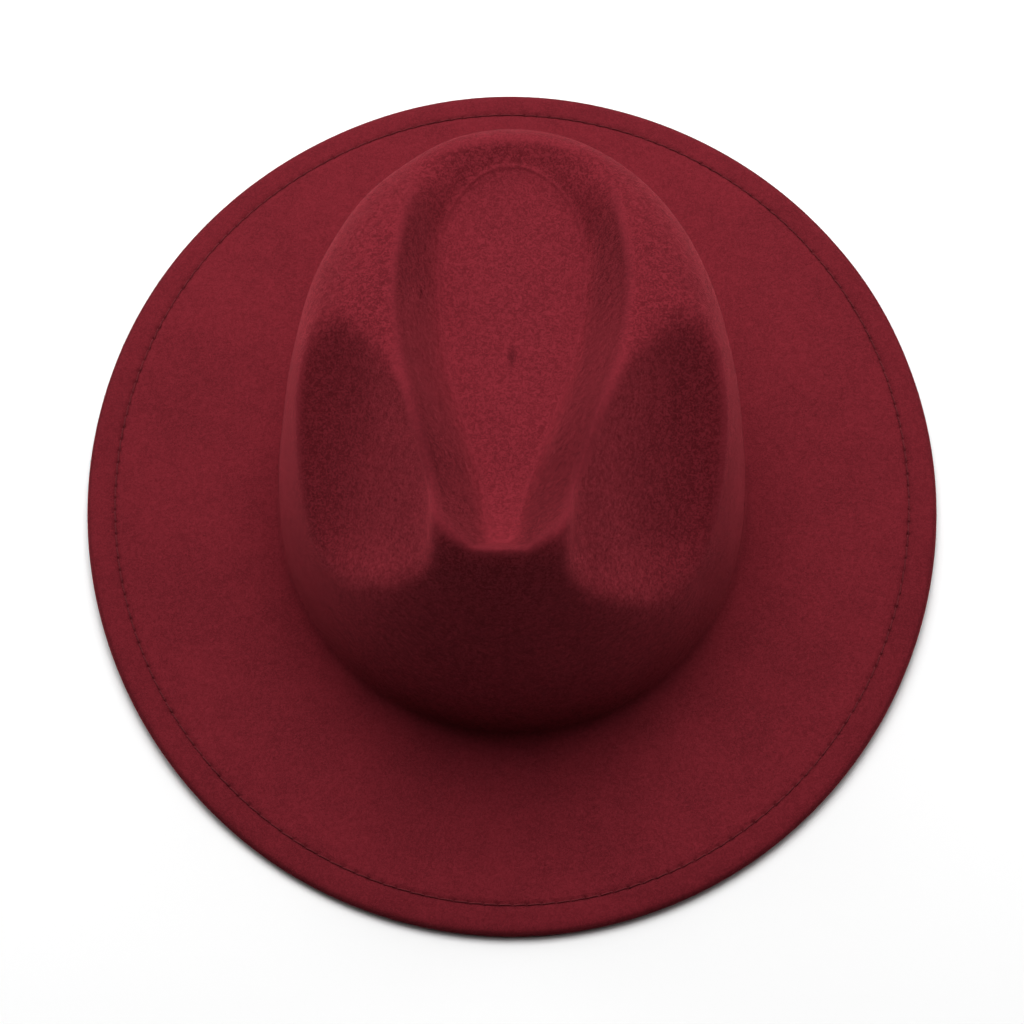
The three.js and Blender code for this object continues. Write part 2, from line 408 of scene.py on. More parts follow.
@dataclass
class Crown:
    """The creased crown: the open crown with its tear dent and its two pinches.

    Its skin is found along lines that fan out from an eye on the axis below it, between the
    nearest and the farthest place where it can lie.
    """

    open_crown: OpenCrown = field(default_factory=OpenCrown)
    tear: TearDent = field(default_factory=TearDent)
    pinch: SidePinch = field(default_factory=SidePinch)
    foot_height: float = 8.4
    eye_height: float = -60.0
    sweep_steps: int = 420
    lowest_angle: float = 0.6
    nearest: float = 60.0
    farthest: float = 260.0
    halvings: int = 30
    probe: float = 0.3
    bend_weight: float = 14.0
    bead_half_width: float = 1.3
    bead_search: int = 40
    lean: float = -4.2
    lean_start: float = 30.0
    lean_length: float = 115.0
    lean_power: float = 1.4

    def own_x(self, x: Array, y: Array) -> Array:
        """Places across the hat, measured from the creases' middle line, which leans at the front."""
        ahead = np.clip((self.lean_start - y) / self.lean_length, 0, 1)
        return x - self.lean * ahead**self.lean_power

    def field(self, x: Array, y: Array, z: Array) -> Array:
        """How far a place is outside the creased crown, below 0 inside it.

        Args:
            x: Places across the hat.
            y: Places along it.
            z: Heights.

        Returns:
            The distance in millimetres.
        """
        own_x = self.own_x(x, y)
        pinched = smooth_max(
            self.open_crown.field(x, y, z), -self.pinch.field(own_x, y, z), self.pinch.lip
        )
        return smooth_max(pinched, -self.tear.field(own_x, y, z), self.tear.ridge)

    def normals(self, points: Array) -> Array:
        """The way square out of the crown.

        Args:
            points: Rows of X, Y and Z on the crown.

        Returns:
            One unit vector for each point.
        """
        x, y, z = points[..., 0], points[..., 1], points[..., 2]
        e = self.probe
        climbs = [
            self.field(x + e, y, z) - self.field(x - e, y, z),
            self.field(x, y + e, z) - self.field(x, y - e, z),
            self.field(x, y, z + e) - self.field(x, y, z - e),
        ]
        return unit(np.stack(climbs, axis=-1))

    def halve(self, across: Array, along: Array, out: Array, up: Array, base: Array) -> Array:
        """Finds the crown's skin along many lines at once.

        Args:
            across: Each line's azimuth, its share of X.
            along: Each line's azimuth, its share of Y.
            out: How far each line goes out for a step along it.
            up: How far it goes up.
            base: The height that it starts from.

        Returns:
            The distance along each line at which it leaves the crown.
        """
        shape = np.broadcast(across, out).shape
        near = np.full(shape, self.nearest)
        far = np.full(shape, self.farthest)
        for _ in range(self.halvings):
            middle = (near + far) / 2
            reach = out * middle
            inside = self.field(across * reach, along * reach, base + up * middle) < 0
            near = np.where(inside, middle, near)
            far = np.where(inside, far, middle)
        return near

    def lines(self, azimuths: Array) -> list[Array]:
        """Cuts the crown along upright half-planes.

        Args:
            azimuths: The direction of each cut, 0 at the front and turning to +X.

        Returns:
            For each cut a fine line of reach and height from the axis to the foot.
        """
        across, along = np.sin(azimuths)[:, None], -np.cos(azimuths)[:, None]
        angles = np.linspace(math.pi / 2, self.lowest_angle, self.sweep_steps)[None, :]
        out, up = np.cos(angles), np.sin(angles)
        distance = self.halve(across, along, out, up, np.array(self.eye_height))
        reach = out * distance
        height = self.eye_height + up * distance
        level = np.zeros((1, 1))
        foot = self.halve(across, along, level + 1, level, np.array(self.foot_height))
        cuts = []
        for i in range(len(azimuths)):
            above = height[i] > self.foot_height
            line = np.stack([reach[i][above], height[i][above]], axis=-1)
            cuts.append(np.vstack([line, [foot[i, 0], self.foot_height]]))
        return cuts

    def stretch_ends(self, line: Array, outline: Array) -> list[float]:
        """Where the floor, the bead, the groove and the side of one cut end.

        Args:
            line: The cut, as reach and height.
            outline: How far outside the tear's outline each of its points is.

        Returns:
            Places along the line, counted in its points.
        """
        after = int(np.argmax(outline > 0))
        near = slice(max(after - self.bead_search, 0), after + self.bead_search)
        counts = np.arange(len(line), dtype=float)
        rising = np.maximum.accumulate(outline[near])
        inner = float(np.interp(-self.bead_half_width, rising, counts[near]))
        outer = float(np.interp(self.bead_half_width, rising, counts[near]))
        beyond = int(outer) + 2
        ridge = beyond + int(np.argmax(line[beyond:, 1]))
        return [0.0, inner, outer, float(ridge), float(len(line) - 1)]

    def section(self, azimuths: Array, rows: CrownRows) -> CrownSection:
        """Lays rows of points over the crown, closer together where it bends.

        Args:
            azimuths: The direction of each column of points.
            rows: How many rows lie along each stretch.

        Returns:
            The points and the ways square out of the crown.
        """
        columns = []
        for azimuth, line in zip(azimuths, self.lines(azimuths)):
            x, y = line[:, 0] * math.sin(azimuth), -line[:, 0] * math.cos(azimuth)
            ends = self.stretch_ends(line, self.tear.outline(self.own_x(x, y), y))
            steps = np.diff(line, axis=0)
            heading = np.unwrap(np.arctan2(steps[:, 1], steps[:, 0]))
            bends = np.abs(np.diff(heading, prepend=heading[0]))
            lengths = np.linalg.norm(steps, axis=1) + self.bend_weight * bends
            measure = np.concatenate([[0], np.cumsum(lengths)])
            counts = np.arange(len(line), dtype=float)
            marks = np.interp(ends, counts, measure)
            row_counts = (rows.floor, rows.bead, rows.groove, rows.side)
            stretches = zip(marks[:-1], marks[1:], row_counts)
            places = np.concatenate([np.linspace(a, b, n + 1)[1:] for a, b, n in stretches])
            reach = np.interp(places, measure, line[:, 0])
            height = np.interp(places, measure, line[:, 1])
            columns.append(
                np.stack([reach * math.sin(azimuth), -reach * math.cos(azimuth), height], axis=-1)
            )
        points = np.stack(columns, axis=1)
        return CrownSection(points, self.normals(points))


# ---- The brim ----


@dataclass
class Brim:
    """The flat brim, its size taken from the frame, with its turned-under hem."""

    half_width: float
    half_length: float
    side_lift: float = 2.5
    flat_half_width: float = 62.0
    felt: float = 2.2
    hem_width: float = 13.0
    fold_reach: float = 4.2
    stitch_inset: float = 10.4
    stitches: int = 196
    rim_fineness: int = 8

    @property
    def top(self) -> float:
        """The height of the brim's upper face where it lies flat."""
        return 2 * self.felt

    def inset_point(self, rim: Array, inset: Array | float) -> Array:
        """Rows of X and Y, a step square in from these rows on the rim."""
        inward = -unit(rim / np.array([self.half_width**2, self.half_length**2]))
        return rim + inward * np.asarray(inset)[..., None]

    def rim_at(self, angles: Array) -> Array:
        """Rows of X and Y on the rim at these angles, 0 at the front and turning to +X."""
        return np.stack([self.half_width * np.sin(angles), -self.half_length * np.cos(angles)], axis=-1)

    def even_rim(self, count: int) -> Array:
        """Points on the rim, evenly spaced by the length of the stitch line.

        Args:
            count: How many points.

        Returns:
            Rows of X and Y, the first at the front, turning to +X.
        """
        fine = np.linspace(0, 2 * math.pi, self.rim_fineness * count + 1)
        seam = self.inset_point(self.rim_at(fine), self.stitch_inset)
        run = np.concatenate([[0], np.cumsum(np.linalg.norm(np.diff(seam, axis=0), axis=1))])
        goal = np.arange(count) * run[-1] / count
        return self.rim_at(np.interp(goal, run, fine))

    def lift(self, x: Array) -> Array:
        """How far the sides of the brim curl up at these places across the hat, in millimetres."""
        beyond = np.maximum(np.abs(x) - self.flat_half_width, 0)
        return self.side_lift * (beyond / (self.half_width - self.flat_half_width)) ** 2

    def place(self, plan: Array, height: Array | float) -> Array:
        """Rows of X, Y and Z, the plan points lifted to this height on the curled brim."""
        z = np.broadcast_to(height, plan.shape[:-1]) + self.lift(plan[..., 0])
        return np.concatenate([plan, z[..., None]], axis=-1)


class Skin:
    """Rings of points laid one after another and joined into one closed skin."""

    def __init__(self) -> None:
        """Starts with nothing laid."""
        self.points: list[Array] = []
        self.faces: list[tuple[int, ...]] = []
        self.count = 0
        self.last: tuple[int, int] | None = None

    def add_pole(self, point: Array) -> None:
        """Lays the single point that a skin starts or ends on, and joins it to the last ring.

        Args:
            point: Its X, Y and Z.
        """
        number = self.count
        self.points.append(np.asarray(point, float)[None, :])
        self.count += 1
        if self.last is not None:
            start, size = self.last
            for i in range(size):
                self.faces.append((number, start + (i + 1) % size, start + i))
        self.last = (number, 1)

    def add_ring(self, ring: Array) -> None:
        """Lays a ring and joins it to the ring or point before it.

        Args:
            ring: Rows of X, Y and Z. It has as many as the ring before, half or twice that.
        """
        start, size = self.count, len(ring)
        self.points.append(ring)
        self.count += size
        before, before_size = self.last
        if before_size == 1:
            self.faces += [(before, start + i, start + (i + 1) % size) for i in range(size)]
        elif before_size == size:
            self.bridge_even(before, start, size)
        elif size == 2 * before_size:
            self.bridge_finer(before, start, before_size)
        else:
            self.bridge_coarser(before, start, size)
        self.last = (start, size)

    def bridge_even(self, a: int, b: int, size: int) -> None:
        """Joins two rings of one size with quads.

        Args:
            a: The first point of the earlier ring.
            b: The first point of the later ring.
            size: How many points each has.
        """
        for i in range(size):
            j = (i + 1) % size
            self.faces.append((a + i, b + i, b + j, a + j))

    def bridge_finer(self, a: int, b: int, size: int) -> None:
        """Joins a ring to one with twice its points.

        Args:
            a: The first point of the earlier ring.
            b: The first point of the later, finer ring.
            size: How many points the earlier ring has.
        """
        for i in range(size):
            j = (i + 1) % size
            first, middle, end = b + 2 * i, b + 2 * i + 1, b + 2 * j
            self.faces += [(a + i, first, middle), (a + i, middle, a + j), (a + j, middle, end)]

    def bridge_coarser(self, a: int, b: int, size: int) -> None:
        """Joins a ring to one with half its points.

        Args:
            a: The first point of the earlier, finer ring.
            b: The first point of the later ring.
            size: How many points the later ring has.
        """
        for i in range(size):
            j = (i + 1) % size
            first, middle, end = a + 2 * i, a + 2 * i + 1, a + 2 * j
            self.faces += [(b + i, middle, first), (b + i, b + j, middle), (b + j, end, middle)]

    def all_points(self) -> Array:
        """Every point laid, in order."""
        return np.vstack(self.points)


# ---- The felt itself ----


class Region(Enum):
    """The stretches of the felt's skin, which are finished a little differently."""

    CROWN = "crown"
    BRIM = "brim"
    HEM = "hem"
    UNDERSIDE = "underside"


@dataclass(frozen=True)
class MarkRanges:
    """Between which values each mark on the felt sets in, in millimetres.

    The hem is measured in from the stitching, the edge in from the rim, the groove and the
    pressed floor out from the floor's outline, the wall's top out of the tear's hollow, and
    the back along the hat. The crest is measured by how sharply the crown bends, and the
    lowest and full values are heights.
    """

    hem: tuple[float, float] = (-1.0, 1.0)
    edge: tuple[float, float] = (0.3, 1.9)
    crown_full: float = 14.0
    probe: float = 1.2
    crest: tuple[float, float] = (0.07, 0.24)
    crest_lowest: float = 20.0
    bead_above_floor: float = 2.0
    dent_lowest: float = 60.0
    wall_top: tuple[float, float] = (-0.8, 3.2)
    back: tuple[float, float] = (40.0, 70.0)
    groove: tuple[float, float] = (0.0, 5.0)
    pressed: tuple[float, float] = (-0.8, 0.6)


@dataclass
class FeltBody:
    """Crown, brim and turned-under hem, one piece of felt of an even thickness.

    The rows and columns are those of its mesh. The bead runs round the floor of the tear,
    the channel is where the stitching pulls the felt in, and the holes are the needle's.
    """

    crown: Crown
    brim: Brim
    foot_fillet: float = 4.0
    outer_rows: CrownRows = CrownRows(floor=12, bead=5, groove=12, side=60)
    inner_rows: CrownRows = CrownRows(floor=6, bead=2, groove=6, side=24)
    fillet_rows: int = 6
    brim_rows: int = 14
    fold_rows: int = 10
    under_rows: int = 8
    columns_per_stitch: int = 8
    seam_zone: float = 2.1
    seam_rows: int = 9
    seam_approach: float = 1.45
    seam_samples: int = 720
    bead_height: float = 0.35
    bead_width: float = 0.7
    bead_fade: tuple[float, float] = (1.5, 4.0)
    channel_depth: float = 0.3
    under_channel: float = 0.5
    channel_width: float = 1.2
    hole_depth: float = 0.55
    hole_width: float = 0.75
    hole_length: float = 0.95
    hole_pull: tuple[float, float] = (0.45, 1.0)
    flat_after_fold: float = 2.4
    cut_bevel: float = 0.6
    cut_corner: tuple[float, float] = (0.1, 0.5)
    cut_lip: float = 0.35
    cut_return: float = 0.3
    ripples_full: float = 40.0
    ripples_across: tuple[float, float] = (0.6, 1.0)
    crown_ripples: Ripples = Ripples(height=0.22, wavelength=42, seed=CROWN_SEED)
    brim_ripples: Ripples = Ripples(height=0.35, wavelength=120, seed=BRIM_SEED)
    ranges: MarkRanges = MarkRanges()
    regions: list[tuple[Region, int]] = field(default_factory=list)
    pricks: list[Array] = field(default_factory=list)

    def crown_rise(self, points: Array) -> Array:
        """How far the blocked felt stands off the true form, with the bead round the floor.

        Args:
            points: Rows of X, Y and Z on the crown.

        Returns:
            The distance along the way square out, in millimetres.
        """
        x, y, z = points[..., 0], points[..., 1], points[..., 2]
        grown = smooth_step(self.crown.foot_height, self.ripples_full, z)
        rise = self.crown_ripples.at(points) * grown
        outside = self.crown.tear.outline(self.crown.own_x(x, y), y)
        on_floor = 1 - smooth_step(*self.bead_fade, z - self.crown.tear.floor(y))
        return rise + self.bead_height * np.exp(-((outside / self.bead_width) ** 2)) * on_floor

    def brim_rise(self, plan: Array) -> Array:
        """How far the brim stands off the surface here and there.

        Args:
            plan: Rows of X and Y.

        Returns:
            The rise in millimetres, never below 0.
        """
        flat = np.concatenate([plan, np.zeros((*plan.shape[:-1], 1))], axis=-1)
        share = np.hypot(plan[..., 0] / self.brim.half_width, plan[..., 1] / self.brim.half_length)
        return np.maximum(self.brim_ripples.at(flat), 0) * smooth_step(*self.ripples_across, share)

    def brim_ring(self, plan: Array, height: Array | float) -> Array:
        """A ring of the brim at a height above where it would lie flat.

        Args:
            plan: Rows of X and Y.
            height: The height above the resting surface before curl and ripples.

        Returns:
            Rows of X, Y and Z.
        """
        ring = self.brim.place(plan, height)
        ring[:, 2] += self.brim_rise(plan)
        return ring

    def lay(self, skin: Skin, ring: Array, region: Region, prick: Array | float = 0.0) -> None:
        """Adds a ring to the skin and notes what stretch of felt it is part of."""
        skin.add_ring(ring)
        self.note(region, len(ring), prick)

    def note(self, region: Region, count: int, prick: Array | float = 0.0) -> None:
        """Notes the stretch of so many points, and how near they are to a needle hole, 1 in it."""
        self.regions.append((region, count))
        self.pricks.append(np.broadcast_to(prick, count))

    def near_holes(self, inset: float, count: int) -> Array:
        """How near the points of a ring are to the needle holes.

        Args:
            inset: How far in from the rim.
            count: How many points the ring has.

        Returns:
            1 in a hole, falling to 0 round it.
        """
        stitch = np.arange(count) / count * self.brim.stitches
        phase = stitch % 1
        along = np.minimum(phase, 1 - phase) * self.seam_pitch()
        off = inset - self.brim.stitch_inset
        nearest = np.rint(stitch).astype(int) % self.brim.stitches
        draw = np.random.default_rng(HOLE_SEED)
        pull = draw.uniform(*self.hole_pull, self.brim.stitches)[nearest]
        return pull * np.exp(-((off / self.hole_width) ** 2) - (along / self.hole_length) ** 2)

    def seam_pitch(self) -> float:
        """Measures the line of stitching.

        Returns:
            The length of one stitch, in millimetres.
        """
        seam = self.brim.inset_point(self.brim.even_rim(self.seam_samples), self.brim.stitch_inset)
        run = np.linalg.norm(np.roll(seam, -1, axis=0) - seam, axis=1).sum()
        return float(run / self.brim.stitches)

    def lay_crown(self, skin: Skin, section: CrownSection) -> None:
        """Lays the crown's outside, from its middle down to its foot.

        Args:
            skin: The skin to add to.
            section: The crown's rows.
        """
        points = section.points + section.normals * self.crown_rise(section.points)[..., None]
        for ring in points:
            self.lay(skin, ring, Region.CROWN)

    def lay_fillet(self, skin: Skin, foot: Array, outward: Array, radius: float, region: Region) -> None:
        """Lays the turn from the crown out into the brim, or back again.

        Args:
            skin: The skin to add to.
            foot: The ring at the crown's foot, outside.
            outward: The way level out of the crown at each of its points.
            radius: The turn's radius, larger on the inside of the felt.
            region: The stretch of felt that it belongs to.
        """
        centre = foot[:, :2] + outward * self.foot_fillet
        steps = range(1, self.fillet_rows + 1)
        if region is Region.UNDERSIDE:
            steps = range(self.fillet_rows, -1, -1)
        for step in steps:
            angle = math.pi / 2 * step / self.fillet_rows
            plan = centre - outward * radius * math.cos(angle)
            height = self.crown.foot_height - radius * math.sin(angle)
            self.lay(skin, np.column_stack([plan, np.full(len(plan), height)]), region)

    def lay_brim_top(self, skin: Skin, centre: Array, rims: dict[int, Array]) -> None:
        """Lays the brim's upper face, with finer rings where it is sewn.

        Args:
            skin: The skin to add to.
            centre: Where the brim starts beyond the fillet, in plan.
            rims: Rim points by how many times finer than the crown's columns they are.
        """
        brim = self.brim
        approach = brim.stitch_inset + 2 * self.seam_zone
        edge = brim.inset_point(rims[1], approach)
        for i in range(1, self.brim_rows + 1):
            plan = centre + (edge - centre) * i / self.brim_rows
            self.lay(skin, self.brim_ring(plan, brim.top), Region.BRIM)
        reach = self.seam_approach * self.seam_zone
        inside = brim.inset_point(rims[2], brim.stitch_inset + reach)
        self.lay(skin, self.brim_ring(inside, brim.top), Region.BRIM)
        for i in range(self.seam_rows):
            inset = brim.stitch_inset + self.seam_zone * (1 - 2 * i / (self.seam_rows - 1))
            ring = self.brim_ring(brim.inset_point(rims[4], inset), brim.top)
            holes = self.near_holes(inset, len(ring))
            off = (inset - brim.stitch_inset) / self.channel_width
            ring[:, 2] -= self.channel_depth * math.exp(-(off**2)) + self.hole_depth * holes
            self.lay(skin, ring, Region.BRIM if inset > brim.stitch_inset else Region.HEM, holes)
        outside = brim.inset_point(rims[2], brim.stitch_inset - reach)
        self.lay(skin, self.brim_ring(outside, brim.top), Region.HEM)

    def lay_hem(self, skin: Skin, rims: dict[int, Array]) -> None:
        """Lays the rounded fold, the hem's underside and its cut edge.

        Args:
            skin: The skin to add to.
            rims: Rim points by how many times finer than the crown's columns they are.
        """
        brim = self.brim
        for i in range(self.fold_rows + 1):
            angle = math.pi / 2 - math.pi * i / self.fold_rows
            inset = brim.fold_reach * (1 - math.cos(angle))
            height = brim.felt * (1 + math.sin(angle))
            self.lay(skin, self.brim_ring(brim.inset_point(rims[2], inset), height), Region.HEM)
        corner_inset, corner_height = self.cut_corner
        under = (
            (brim.fold_reach + self.flat_after_fold, 0.0),
            (brim.stitch_inset - self.channel_width, 0.0),
            (brim.stitch_inset, self.under_channel),
            (brim.stitch_inset + self.channel_width, 0.0),
            (brim.hem_width - self.cut_bevel, 0.0),
            (brim.hem_width - corner_inset, corner_height),
            (brim.hem_width, brim.felt - self.cut_lip),
        )
        for inset, height in under:
            self.lay(skin, self.brim_ring(brim.inset_point(rims[2], inset), height), Region.HEM)

    def build(self, material: bpy.types.Material) -> bpy.types.Object:
        """Lays the whole skin and makes the mesh.

        Args:
            material: The felt's finish.

        Returns:
            The felt body, standing for the CAD's.
        """
        finest = self.brim.even_rim(self.columns_per_stitch * self.brim.stitches)
        rims = {1: finest[::4], 2: finest[::2], 4: finest}
        azimuths = np.arctan2(rims[1][:, 0], -rims[1][:, 1])
        outer = self.crown.section(azimuths, self.outer_rows)
        inner = self.crown.section(azimuths, self.inner_rows)
        foot = outer.points[-1]
        outward = unit(outer.normals[-1][:, :2])
        centre = foot[:, :2] + outward * self.foot_fillet

        skin = Skin()
        middle = np.zeros((1, 3))
        middle[0, 2] = self.crown.tear.floor(np.zeros(1))[0]
        top = middle[0] + np.array([0, 0, self.crown_rise(middle)[0]])
        skin.add_pole(top)
        self.note(Region.CROWN, 1)
        self.lay_crown(skin, outer)
        self.lay_fillet(skin, foot, outward, self.foot_fillet, Region.CROWN)
        self.lay_brim_top(skin, centre, rims)
        self.lay_hem(skin, rims)
        corner = self.brim.inset_point(rims[1], self.brim.hem_width + self.cut_return)
        for i in range(self.under_rows):
            plan = corner + (centre - corner) * i / self.under_rows
            self.lay(skin, self.brim_ring(plan, self.brim.felt), Region.UNDERSIDE)
        self.lay_fillet(skin, foot, outward, self.foot_fillet + self.brim.felt, Region.UNDERSIDE)
        rises = self.crown_rise(inner.points)[..., None]
        under = inner.points + inner.normals * (rises - self.brim.felt)
        for ring in under[-2::-1]:
            self.lay(skin, ring, Region.UNDERSIDE)
        skin.add_pole(top - np.array([0, 0, self.brim.felt]))
        self.note(Region.UNDERSIDE, 1)

        points = skin.all_points()
        body = make_object("felt_shell", points, skin.faces, material)
        self.mark(body, points)
        return body

    def vertex_regions(self) -> Array:
        """The stretch of felt that each vertex belongs to, by name."""
        return np.concatenate([np.full(n, r.value) for r, n in self.regions])

    def brim_marks(self, points: Array, on_top: Array) -> dict[str, Array]:
        """How strongly each vertex shows the sewing, the hem and the rim's edge: painted shade in the
        stitch channel, in the needle holes and along the rim's turned edge, and a darker hem band.

        Args:
            points: The felt's vertices, in millimetres.
            on_top: Which of them aren't on the underside.

        Returns:
            The marks by name, each from 0 to 1.
        """
        x, y, z = points.T
        brim = self.brim
        share = np.hypot(x / brim.half_width, y / brim.half_length)
        slope = np.hypot(x / brim.half_width**2, y / brim.half_length**2)
        inset = (1 - share) * share / np.maximum(slope, TINY)
        off_seam = (inset - brim.stitch_inset) / self.channel_width
        return {
            # painted shade in the channel along the stitching
            "seam": np.exp(-(off_seam**2)) * on_top * (z > brim.felt),
            # painted shade in the needle holes
            "prick": np.concatenate(self.pricks),
            "hem": (1 - smooth_step(*self.ranges.hem, inset - brim.stitch_inset)) * on_top,
            # painted shade along the rim's turned edge
            "edge": (1 - smooth_step(*self.ranges.edge, inset)) * on_top,
        }

    def crown_marks(self, points: Array, on_crown: Array) -> dict[str, Array]:
        """How strongly each vertex shows the crown's creases: painted highlight on the crests, the bead
        and the tear's floor, and painted shade on the groove walls.

        Args:
            points: The felt's vertices, in millimetres.
            on_crown: Which of them are on the crown.

        Returns:
            The marks by name, each from 0 to 1.
        """
        x, y, z = points.T
        ranges, tear = self.ranges, self.crown.tear
        crown = on_crown * smooth_step(self.brim.top, ranges.crown_full, z)
        here = self.crown.field(x, y, z)
        around = sum(
            self.crown.field(x + dx, y + dy, z + dz) - here
            for dx, dy, dz in np.vstack([np.eye(3), -np.eye(3)]) * ranges.probe
        )
        bend = around / ranges.probe**2
        own_x = self.crown.own_x(x, y)
        outside = tear.outline(own_x, y) / self.bead_width
        low = z < tear.floor(y) + ranges.bead_above_floor
        beyond = smooth_step(*ranges.wall_top, tear.field(own_x, y, z))
        beyond = np.maximum(beyond, smooth_step(*ranges.back, y))
        high = (z > ranges.dent_lowest) * crown
        groove = smooth_step(*ranges.groove, outside * self.bead_width)
        return {
            "crown": crown,
            # painted highlight on the crown's sharp ridges
            "crest": smooth_step(*ranges.crest, bend) * crown * (z > ranges.crest_lowest),
            # painted highlight along the raised bead round the tear's floor
            "bead": np.exp(-(outside**2)) * low * (z > ranges.dent_lowest) * crown,
            # painted shade on the groove walls beside the tear's floor
            "groove": groove * (1 - beyond) * high,
            # painted highlight over the tear's floor
            "pressed": (1 - smooth_step(*ranges.pressed, outside * self.bead_width)) * high,
        }

    def mark(self, body: bpy.types.Object, points: Array) -> None:
        """Stores on the mesh where the felt is creased, sewn or turned, for its finish.

        Args:
            body: The felt's object.
            points: Its vertices, in millimetres.
        """
        of_region = self.vertex_regions()
        marks = self.brim_marks(points, of_region != Region.UNDERSIDE.value)
        marks |= self.crown_marks(points, of_region == Region.CROWN.value)
        for name, values in marks.items():
            layer = body.data.attributes.new(name, "FLOAT", "POINT")
            layer.data.foreach_set("value", np.asarray(values, np.float32))


@dataclass
class HemStitching:
    """The one row of lockstitches that holds the hem, in two-ply thread.

    Each stitch arches a little, plunges into the felt at both ends and lies at a slant. The
    sway and the tension are the seeded shares by which slants and depths differ.
    """

    felt: FeltBody
    thread_radius: float = 0.27
    ply_radius: float = 0.15
    rings: int = 18
    sides: int = 5
    twists: float = 2.5
    plunge: float = 1.3
    plunge_share: float = 0.075
    arch: float = 0.1
    slant: float = 0.16
    bedding: float = 0.6
    sway: tuple[float, float] = (0.5, 1.2)
    tension: tuple[float, float] = (0.85, 1.15)
    under_gap: float = 0.08
    under_share: float = 0.5

    def paths(self, upper: bool) -> Array:
        """The centre line of every stitch on one face of the brim.

        Args:
            upper: True for the brim's upper face, False for the hem's underside.

        Returns:
            Points by stitch, place along the stitch, and X, Y and Z.
        """
        brim = self.felt.brim
        fine = brim.even_rim(brim.stitches * (self.rings - 1))
        numbers = np.arange(brim.stitches)[:, None] * (self.rings - 1) + np.arange(self.rings)
        share = np.linspace(0, 1, self.rings)
        draw = np.random.default_rng(THREAD_SEED)
        sway = self.slant * (share - 0.5) * 2 * draw.uniform(*self.sway, (brim.stitches, 1))
        inset = brim.stitch_inset + sway * (1 if upper else -1)
        plan = brim.inset_point(fine[numbers % len(fine)], inset)
        ends = np.exp(-((share / self.plunge_share) ** 2))
        ends = ends + np.exp(-(((1 - share) / self.plunge_share) ** 2))
        lie = self.thread_radius * self.bedding + self.arch * np.sin(math.pi * share)
        lie = (lie - self.plunge * ends) * draw.uniform(*self.tension, (brim.stitches, 1))
        if upper:
            height = brim.top - self.felt.channel_depth + lie
        else:
            height = self.felt.under_channel - self.under_gap - lie * self.under_share
        rise = brim.lift(plan[..., 0]) + self.felt.brim_rise(plan)
        return np.concatenate([plan, (height + rise)[..., None]], axis=-1)

    def tube(self, line: Array, turn: float) -> tuple[Array, list[tuple[int, ...]]]:
        """One ply of one stitch, closed at both ends.

        Args:
            line: The stitch's centre line.
            turn: Where round the thread this ply starts, in radians.

        Returns:
            The ply's points and faces.
        """
        heading = unit(np.gradient(line, axis=0))
        side = unit(np.cross(heading, np.array([0.0, 0.0, 1.0])))
        over = np.cross(side, heading)
        angle = turn + np.linspace(0, 2 * math.pi * self.twists, len(line))
        off = self.thread_radius - self.ply_radius
        middle = line + off * (np.cos(angle)[:, None] * side + np.sin(angle)[:, None] * over)
        round_it = np.linspace(0, 2 * math.pi, self.sides, endpoint=False)
        spokes = np.cos(round_it)[:, None, None] * side + np.sin(round_it)[:, None, None] * over
        points = (middle + self.ply_radius * spokes).transpose(1, 0, 2).reshape(-1, 3)
        faces: list[tuple[int, ...]] = []
        for i in range(len(line) - 1):
            for j in range(self.sides):
                k = (j + 1) % self.sides
                a, b = i * self.sides, (i + 1) * self.sides
                faces.append((a + j, a + k, b + k, b + j))
        last = (len(line) - 1) * self.sides
        faces.append(tuple(reversed(range(self.sides))))
        faces.append(tuple(last + j for j in range(self.sides)))
        return points, faces

    def build(self, material: bpy.types.Material) -> bpy.types.Object:
        """Makes every stitch, on the brim's face and under the hem, as one joined mesh.

        Args:
            material: The thread's finish.

        Returns:
            The stitching.
        """
        points: list[Array] = []
        faces: list[tuple[int, ...]] = []
        count = 0
        for upper in (True, False):
            for line in self.paths(upper):
                for turn in (0.0, math.pi):
                    ply, ply_faces = self.tube(line, turn)
                    points.append(ply)
                    faces += [tuple(count + n for n in face) for face in ply_faces]
                    count += len(ply)
        return make_object("hem_stitching", np.vstack(points), faces, material)


